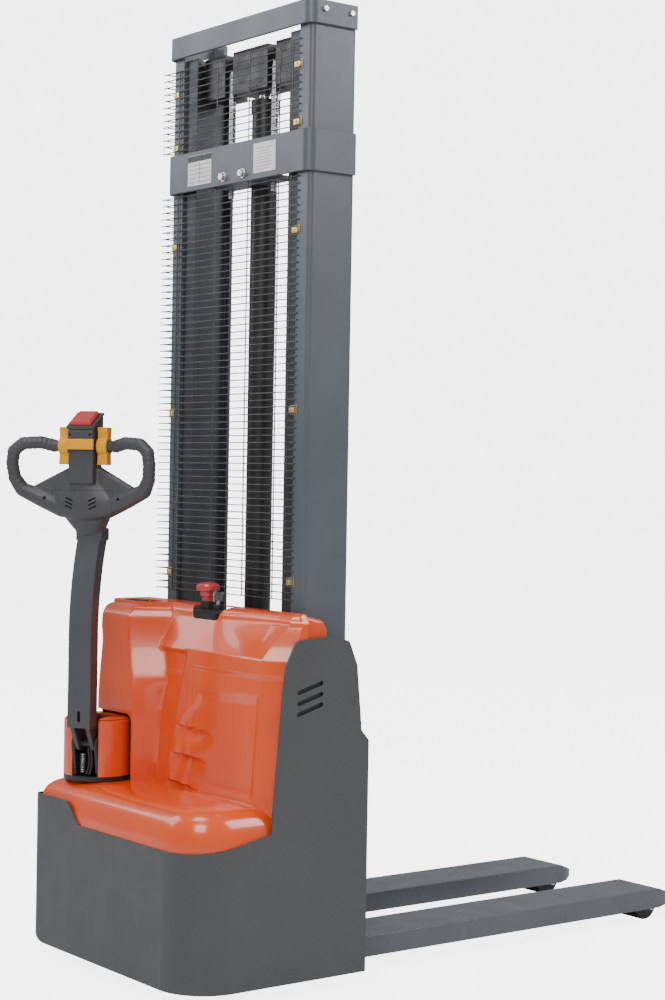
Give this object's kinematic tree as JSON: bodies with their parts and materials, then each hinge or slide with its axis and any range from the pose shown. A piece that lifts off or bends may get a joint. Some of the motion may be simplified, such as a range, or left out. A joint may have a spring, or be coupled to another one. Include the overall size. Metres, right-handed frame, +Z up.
{
  "type": "electric pallet truck",
  "caption": "Pedestrian electric stacker: two-stage mast with mesh guard, wrap-over forks on support legs, orange hood and a steered tiller.",
  "frame": {"origin": "on the floor, under the middle of the bounding box", "axes": "+Z up, +X the truck's right, +Y along the forks away from the operator"},
  "size_m": [0.72, 1.7848, 2.323],
  "materials": {
    "orange_moulding": "gloss",
    "dark_steel": "satin",
    "mast_paint": "satin",
    "fork_paint": "satin",
    "black_steel": "satin",
    "bare_steel": "brushed",
    "rod_chrome": "polished",
    "zinc_trim": "zinc plated",
    "plate_metal": "satin",
    "wheel_urethane": "matte",
    "black_plastic": "matte",
    "tiller_plastic": "fine grain",
    "yellow_plastic": "satin",
    "red_plastic": "gloss"
  },
  "bodies": {
    "truck": {"chassis_frame": "dark_steel", "drive_mount": "dark_steel", "support_leg_left": "dark_steel", "support_leg_right": "dark_steel", "load_axles": "bare_steel", "outer_channel_left": "mast_paint", "outer_channel_right": "mast_paint", "mast_top_beam": "mast_paint", "mast_mid_beam": "mast_paint", "mesh_guard": "bare_steel", "mesh_clips": "zinc_trim", "mast_screws": "zinc_trim", "data_plates": "plate_metal", "cylinder_barrel": "mast_paint", "chain_anchors": "bare_steel", "chain_fixed_strands": "bare_steel", "body_apron": "dark_steel", "deck_cover": "orange_moulding", "hood": "orange_moulding", "battery": "black_plastic", "hydraulic_pack": "plate_metal", "controller": "plate_metal", "charger": "black_plastic", "control_panel": "black_plastic", "stop_base": "black_plastic", "caster_plate": "dark_steel"},
    "steer_unit": {"steer_turntable": "black_steel", "drive_gearbox": "dark_steel", "drive_motor": "black_steel", "hub_shell_left": "orange_moulding", "hub_shell_right": "orange_moulding"},
    "drive_wheel": {"drive_wheel": "wheel_urethane"},
    "tiller": {"tiller_arm": "tiller_plastic", "head_front_shell": "tiller_plastic", "head_rear_shell": "tiller_plastic", "button_bezel": "plate_metal"},
    "throttle": {"throttle_wings": "yellow_plastic"},
    "lift_rocker": {"lift_rocker": "yellow_plastic"},
    "reverse_button": {"reverse_button": "red_plastic"},
    "inner_mast": {"inner_channel_left": "mast_paint", "inner_channel_right": "mast_paint", "inner_top_beam": "black_steel", "inner_foot_beam": "mast_paint", "cylinder_rod": "rod_chrome"},
    "fork_carriage": {"carriage_frame": "mast_paint", "fork_left": "fork_paint", "fork_right": "fork_paint", "chain_lift_strands": "bare_steel"},
    "chain_pulleys": {"chain_pulleys": "bare_steel"},
    "outer_rollers": {"outer_rollers": "bare_steel"},
    "inner_rollers": {"inner_rollers": "bare_steel"},
    "carriage_rollers_lower": {"carriage_rollers_lower": "bare_steel"},
    "carriage_rollers_upper": {"carriage_rollers_upper": "bare_steel"},
    "load_wheel_left": {"load_wheel_left": "wheel_urethane"},
    "load_wheel_right": {"load_wheel_right": "wheel_urethane"},
    "caster_fork": {"caster_fork": "dark_steel"},
    "caster_wheel": {"caster_wheel": "wheel_urethane"},
    "stop_knob": {"stop_knob": "red_plastic"},
    "ignition_key": {"ignition_key": "bare_steel"},
    "hood_knob": {"hood_knob": "black_plastic"}
  },
  "joints": [
    {"name": "steering", "type": "hinge", "parent": "truck", "child": "steer_unit", "pos_m": [-0.24, -0.66333, 0.262], "axis": [0, 0, 1], "range_deg": [-110, 40]},
    {"name": "drive_spin", "type": "hinge", "parent": "steer_unit", "child": "drive_wheel", "pos_m": [-0.24, -0.66333, 0.1], "axis": [0.8192, 0.5736, 0], "continuous": true},
    {"name": "tiller_tilt", "type": "hinge", "parent": "steer_unit", "child": "tiller", "pos_m": [-0.20214, -0.7174, 0.536], "axis": [0.8192, 0.5736, 0], "range_deg": [0, 80], "stiffness_Nm_per_rad": 14, "springref_deg": -34.38},
    {"name": "throttle_turn", "type": "hinge", "parent": "tiller", "child": "throttle", "pos_m": [-0.18035, -0.74852, 1.26857], "axis": [0.8192, 0.5736, 0], "range_deg": [-25, 25], "stiffness_Nm_per_rad": 0.6},
    {"name": "rocker_tilt", "type": "hinge", "parent": "tiller", "child": "lift_rocker", "pos_m": [-0.16429, -0.77146, 1.27257], "axis": [0.8192, 0.5736, 0], "range_deg": [-6, 6], "stiffness_Nm_per_rad": 0.5},
    {"name": "button_press", "type": "slide", "parent": "tiller", "child": "reverse_button", "axis": [-0.2868, 0.4096, -0.866], "range_m": [0, 0.005], "stiffness_N_per_m": 900},
    {"name": "mast_lift", "type": "slide", "parent": "truck", "child": "inner_mast", "axis": [0, 0, 1], "range_m": [0, 1.6]},
    {"name": "carriage_lift", "type": "slide", "parent": "inner_mast", "child": "fork_carriage", "axis": [0, 0, 1], "range_m": [0, 1.6]},
    {"name": "pulley_turn", "type": "hinge", "parent": "inner_mast", "child": "chain_pulleys", "pos_m": [0, -0.34183, 2.215], "axis": [1, 0, 0], "range_deg": [0, 2200]},
    {"name": "outer_rollers_turn", "type": "hinge", "parent": "truck", "child": "outer_rollers", "pos_m": [0, -0.36783, 2.225], "axis": [1, 0, 0], "range_deg": [0, 2200]},
    {"name": "inner_rollers_turn", "type": "hinge", "parent": "inner_mast", "child": "inner_rollers", "pos_m": [0, -0.36783, 0.222], "axis": [1, 0, 0], "range_deg": [-2200, 0]},
    {"name": "carriage_rollers_lower_turn", "type": "hinge", "parent": "fork_carriage", "child": "carriage_rollers_lower", "pos_m": [0, -0.36783, 0.152], "axis": [1, 0, 0], "range_deg": [-2200, 0]},
    {"name": "carriage_rollers_upper_turn", "type": "hinge", "parent": "fork_carriage", "child": "carriage_rollers_upper", "pos_m": [0, -0.36783, 0.424], "axis": [1, 0, 0], "range_deg": [-2200, 0]},
    {"name": "load_wheel_left_spin", "type": "hinge", "parent": "truck", "child": "load_wheel_left", "pos_m": [-0.195, 0.79667, 0.04], "axis": [1, 0, 0], "continuous": true},
    {"name": "load_wheel_right_spin", "type": "hinge", "parent": "truck", "child": "load_wheel_right", "pos_m": [0.195, 0.79667, 0.04], "axis": [1, 0, 0], "continuous": true},
    {"name": "caster_swivel", "type": "hinge", "parent": "truck", "child": "caster_fork", "pos_m": [0.24, -0.66333, 0.15], "axis": [0, 0, 1], "continuous": true},
    {"name": "caster_spin", "type": "hinge", "parent": "caster_fork", "child": "caster_wheel", "pos_m": [0.24, -0.62733, 0.0625], "axis": [1, 0, 0], "continuous": true},
    {"name": "stop_press", "type": "slide", "parent": "truck", "child": "stop_knob", "axis": [0, 0, -1], "range_m": [0, 0.006]},
    {"name": "key_turn", "type": "hinge", "parent": "truck", "child": "ignition_key", "pos_m": [0.03, -0.49233, 0.884], "axis": [0, 0, 1], "range_deg": [0, 90]},
    {"name": "knob_turn", "type": "hinge", "parent": "truck", "child": "hood_knob", "pos_m": [-0.232, -0.54133, 0.86], "axis": [0, 0, 1], "range_deg": [0, 90]}
  ],
  "couplings": [
    {"joint": "carriage_lift", "follows": "mast_lift", "ratio": 1},
    {"joint": "pulley_turn", "follows": "mast_lift", "rad_per_m": 20.833},
    {"joint": "outer_rollers_turn", "follows": "mast_lift", "rad_per_m": 21.299},
    {"joint": "inner_rollers_turn", "follows": "mast_lift", "rad_per_m": -18.536},
    {"joint": "carriage_rollers_lower_turn", "follows": "mast_lift", "rad_per_m": -21.299},
    {"joint": "carriage_rollers_upper_turn", "follows": "mast_lift", "rad_per_m": -21.299}
  ]
}
